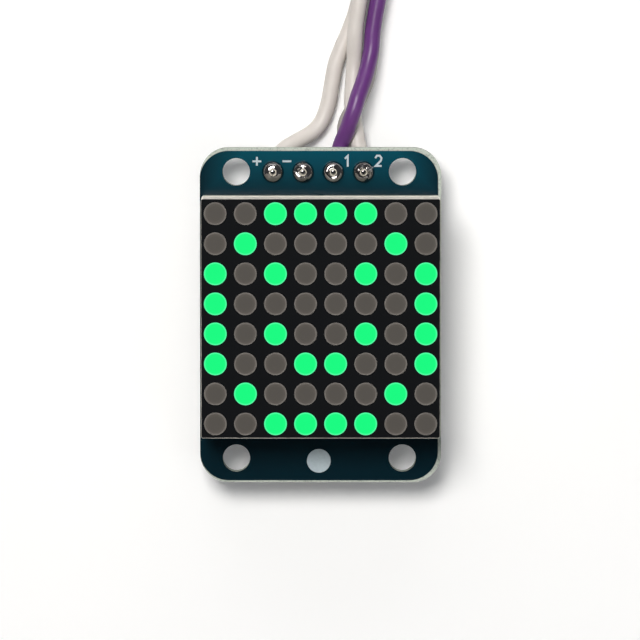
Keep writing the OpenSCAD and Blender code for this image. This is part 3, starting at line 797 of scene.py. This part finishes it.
# Each joint's seed, crown, dish and lumps, from the plus terminal on, in millimetres
JOINTS = (
    (3.1, 0.3, 0.05, [(0.02, -0.36, 0.16, 0.12)]),
    (8.4, 0.2, 0.1, [(0.14, -0.42, 0.24, 0.3), (-0.35, 0.1, 0.25, -0.08)]),
    (1.7, 0.13, 0.12, []),
    (5.9, 0.24, 0.12, [(0.15, -0.46, 0.2, 0.28), (0.42, 0.12, 0.18, 0.2), (-0.1, 0.42, 0.16, 0.18)]),
)
form = bmesh.new()
for terminal_x, (seed, crown, dish, lumps) in zip(TERMINAL_X, JOINTS):
    joint(form, (terminal_x, TERMINAL_Y), seed, crown * MM, dish * MM, lumps)
for face in form.faces:
    face.smooth = len(face.verts) < 5
# The dark brown second tone, in patches, is painted dark reflection, and it darkens the joints as a whole
solder_with_painted_reflection = mottled(
    "solder_with_painted_reflection",
    "#bab8b7",
    "#4e4741",
    0.1,
    patch=1300,
    grain_scale=3500,
    spread=0.12,
    bump=0.15,
    depth=0.03,
    metal=1,
)
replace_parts(formed("terminal_joints", form, solder_with_painted_reflection), "terminal_solder")

# --- Display module ----------------------------------------------------------
# One white moulding with 64 tapered wells, its face printed matte black, filled with diffusing
# resin. The wells stand over the light chips, and the back is sealed with casting resin.

DOT_COUNT = 8
DOT_PITCH = 2.5 * MM
DOT_R = 0.95 * MM
MODULE_Y = 0.1 * MM
BARE_EDGE = 0.06 * MM
PRINT_CORNER_R = 0.2 * MM
PRINT_EDGE = 0.03 * MM
PRINT_DEPTH = 0.02 * MM
SKIRT_H = 2 * MM
module_low, module_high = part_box("matrix_housing")
face_top = module_high.z

# The print stops just short of the face's lower edge and sides. The skirt is painted greyer and greener, as
# painted shade with teal light thrown up from the board
shell, nodes, links, shader = new_material("printed_moulding")
print_middle = (0, MODULE_Y + BARE_EDGE / 2)
print_half = (module_high.x - BARE_EDGE, (module_high.y - module_low.y - BARE_EDGE) / 2)
mask = region(nodes, links, print_middle, print_half, PRINT_CORNER_R, PRINT_EDGE)
place = nodes.new("ShaderNodeTexCoord")
axes = nodes.new("ShaderNodeSeparateXYZ")
links.new(place.outputs["Object"], axes.inputs[0])
on_face = math_node(nodes, links, "GREATER_THAN", axes.outputs["Z"], face_top - PRINT_DEPTH)
mask = math_node(nodes, links, "MULTIPLY", mask, on_face)
mask = math_node(nodes, links, "MULTIPLY", mask, flat_faces(nodes, links))
ink = mottle_in(nodes, "#080a0d", "#0d0f12", patch=400, grain_scale=9000)
painted_shade_on_skirt = math_node(nodes, links, "LESS_THAN", axes.outputs["Z"], board_top + SKIRT_H)
plastic = two_layers(nodes, links, painted_shade_on_skirt, linear("#e6e2d8"), linear("#d5d6ca"))
links.new(two_layers(nodes, links, mask, plastic, ink.outputs["Color"]), shader.inputs["Base Color"])
links.new(by_mask(nodes, links, mask, outside=0.38, inside=0.6), shader.inputs["Roughness"])
shader.inputs["Specular IOR Level"].default_value = 0.06
add_relief(nodes, links, shader, ink.outputs["Height"], strength=0.15, depth=0.01)
dress("matrix_housing", shell)

# How far a point is from the middle of its own well, as a share of the well's radius
well_tree, nodes, links, first, end = new_group(
    "from_well_middle",
    [
        ("Pitch", "NodeSocketFloat", DOT_PITCH),
        ("Radius", "NodeSocketFloat", DOT_R),
        ("Offset Y", "NodeSocketFloat", MODULE_Y),
    ],
    [("Share", "NodeSocketFloat")],
)
place = nodes.new("ShaderNodeTexCoord")
axes = nodes.new("ShaderNodeSeparateXYZ")
links.new(place.outputs["Object"], axes.inputs[0])
shifted = math_node(nodes, links, "SUBTRACT", axes.outputs["Y"], first.outputs["Offset Y"])
squares = []
for value in (axes.outputs["X"], shifted):
    cell = math_node(nodes, links, "DIVIDE", value, first.outputs["Pitch"])
    cell = math_node(nodes, links, "SUBTRACT", math_node(nodes, links, "FRACT", cell), 0.5)
    cell = math_node(nodes, links, "MULTIPLY", cell, first.outputs["Pitch"])
    squares.append(math_node(nodes, links, "MULTIPLY", cell, cell))
middle = math_node(nodes, links, "SQRT", math_node(nodes, links, "ADD", *squares))
links.new(math_node(nodes, links, "DIVIDE", middle, first.outputs["Radius"]), end.inputs["Share"])


def resin(name, tones, glow=None):
    """Diffusing resin: its tones and its light, each from a well's middle to its rim."""
    made, nodes, links, shader = new_material(name)
    share = nodes.new("ShaderNodeGroup")
    share.node_tree = well_tree
    for ramp_tones, socket in ((tones, "Base Color"), (glow, "Emission Color")):
        if not ramp_tones:
            continue
        ramp = nodes.new("ShaderNodeValToRGB")
        elements = ramp.color_ramp.elements
        elements[0].position, elements[1].position = ramp_tones[0][0], ramp_tones[-1][0]
        for position, _ in ramp_tones[1:-1]:
            elements.new(position)
        for element, (_, tone) in zip(elements, ramp_tones):
            element.color = linear(tone)
        links.new(share.outputs["Share"], ramp.inputs[0])
        links.new(ramp.outputs[0], shader.inputs[socket])
    shader.inputs["Roughness"].default_value = 0.5
    shader.inputs["Specular IOR Level"].default_value = 0.12
    if glow:
        shader.inputs["Emission Strength"].default_value = 1
    place = nodes.new("ShaderNodeTexCoord")
    grain = add_node(nodes, links, "ShaderNodeTexNoise", Vector=place.outputs["Object"], Scale=7000)
    add_relief(nodes, links, shader, grain, strength=0.2, depth=0.01)
    return made


unlit_resin = resin(
    "unlit_resin",
    [(0, "#524e4a"), (0.6, "#534f4a"), (0.84, "#5a5550"), (0.93, "#7d7873"), (1, "#86817b")],
)
dress("unlit_dots", unlit_resin)
lit_resin = resin(
    "lit_resin",
    [(0, "#020403"), (1, "#020403")],
    [(0, "#00f97f"), (0.84, "#00f97f"), (0.93, "#4affa2"), (1, "#56ffaa")],
)
dress("lit_dots", lit_resin)

# The resin creeps up the edge of each well and sets there in a fine raised rim
RIM_INSET = 0.05 * MM
rim_tree, nodes, links, first, end = new_group(
    "resin_rims",
    [
        ("Geometry", "NodeSocketGeometry", None),
        ("Rim Radius", "NodeSocketFloat", DOT_R - RIM_INSET),
        ("Rim Thickness", "NodeSocketFloat", 0.03 * MM),
        ("Material", "NodeSocketMaterial", None),
    ],
    [("Geometry", "NodeSocketGeometry")],
    kind="GeometryNodeTree",
)
given = first.outputs
circle, bead = [
    add_node(nodes, links, "GeometryNodeCurvePrimitiveCircle", Resolution=count, Radius=given[label])
    for count, label in ((40, "Rim Radius"), (6, "Rim Thickness"))
]
rim = add_node(nodes, links, "GeometryNodeCurveToMesh", Curve=circle, Profile_Curve=bead)
rims = add_node(
    nodes, links, "GeometryNodeInstanceOnPoints", Points=given["Geometry"], Instance=rim
)
real = add_node(nodes, links, "GeometryNodeRealizeInstances", Geometry=rims)
cured = add_node(nodes, links, "GeometryNodeSetMaterial", Geometry=real, Material=given["Material"])
links.new(cured, end.inputs[0])


def is_lit(x, y):
    """The smiling face: a ring, two eyes and a mouth, in dots from the middle."""
    ring = 3.5 < math.hypot(x, y) < 3.85
    eye = abs(x) == 1.5 and y == 1.5
    mouth = abs(x) < 2 and y == abs(x) - 2
    return ring or eye or mouth


for name, lit, finish in (("lit_rims", True, lit_resin), ("unlit_rims", False, unlit_resin)):
    middles = []
    for column in range(DOT_COUNT):
        for row in range(DOT_COUNT):
            x, y = [i - (DOT_COUNT - 1) / 2 for i in (column, row)]
            if is_lit(x, y) == lit:
                middles.append((x * DOT_PITCH, MODULE_Y + y * DOT_PITCH, face_top))
    spots = bpy.data.meshes.new(name + "_middles")
    spots.from_pydata(middles, [], [])
    grown(name, rim_tree, spots, Material=finish)

# What is inside and behind: the light chips, the board that carries them, the seal and the pins
for node, name, tone, second, rough, patch, grain_scale in (
    ("led_chips", "light_chip", "#d8d27a", "#c2b95a", 0.2, 4000, 9000),
    ("matrix_substrate", "bare_laminate", "#d9d4bd", "#c9c2a4", 0.6, 600, 6000),
    ("back_potting", "casting_resin", "#e4e1d6", "#d8d3c4", 0.18, 400, 2000),
):
    dress(node, mottled(name, tone, second, rough, patch, grain_scale))
tin_plate = mottled("tin_plate", "#cfcfcb", "#bdbdb9", 0.28, patch=2000, grain_scale=9000, bump=0.2, metal=1)
dress("matrix_pins", tin_plate)
bright_solder = mottled(
    "bright_solder",
    "#dcdcda",
    "#b9b7b4",
    0.12,
    patch=2500,
    grain_scale=6000,
    spread=0.15,
    bump=0.5,
    depth=0.05,
    metal=1,
)
dress("pin_solder", bright_solder)

# --- Driver chip and small parts on the back ---------------------------------
# Surface-mounted parts, reflowed onto the back of the board: the driver in its black epoxy
# moulding, ceramic capacitors and resistors, and a diode.

epoxy = mottled(
    "moulding_compound", "#1f1f21", "#19191b", 0.6, patch=600, grain_scale=9000, bump=0.5, depth=0.02
)
glaze = mottled("resistor_glaze", "#1a1a1c", "#141416", 0.25, patch=2000, grain_scale=9000)
for node in ("large_capacitor", "small_capacitor"):
    dress(node, mottled(node + "_ceramic", "#b58f66", "#a67f57", 0.5, patch=2000, grain_scale=9000))
for material, dressed in (
    (epoxy, ("driver_chip", "diode")),
    (glaze, ("pullup_resistors", "address_resistor")),
    (tin_plate, ("chip_leads", "end_caps")),
    (bright_solder, ("chip_solder", "part_solder")),
):
    for node in dressed:
        dress(node, material)
